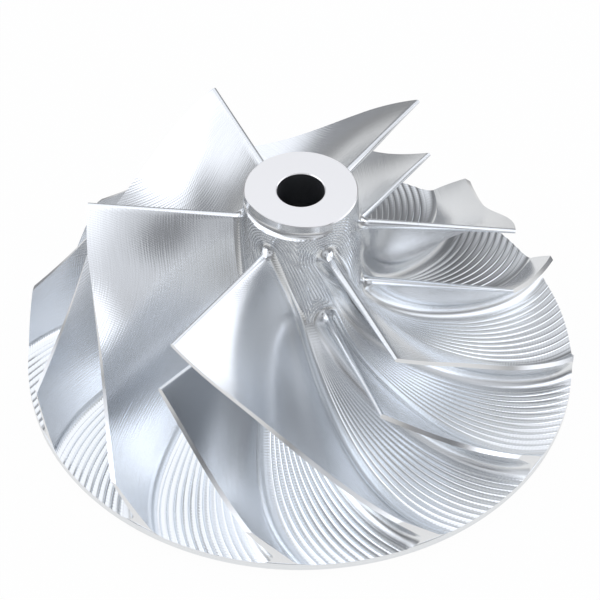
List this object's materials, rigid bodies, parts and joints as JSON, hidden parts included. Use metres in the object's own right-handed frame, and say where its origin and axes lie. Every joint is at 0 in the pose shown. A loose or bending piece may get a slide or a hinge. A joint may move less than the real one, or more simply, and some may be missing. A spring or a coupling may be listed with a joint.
{
  "type": "compressor wheel",
  "caption": "Turbocharger compressor wheel: backswept twisted blades and shorter splitters milled into a curved hub, with a balance cut at the nose and a shaft bore right through.",
  "frame": {"origin": "middle of the seat face under the hub, on the shaft axis", "axes": "+Z along the axis from the seat face up to the nose. +X lies 5.2 degrees counter-clockwise, seen from the nose, of the first full leading edge. +Y completes the right-handed frame. The picture looks along +Y and down."},
  "size_m": [0.0762, 0.0762, 0.0339],
  "materials": {
    "billet": "machined"
  },
  "bodies": {
    "root": {"compressor_wheel": "billet"}
  },
  "joints": []
}
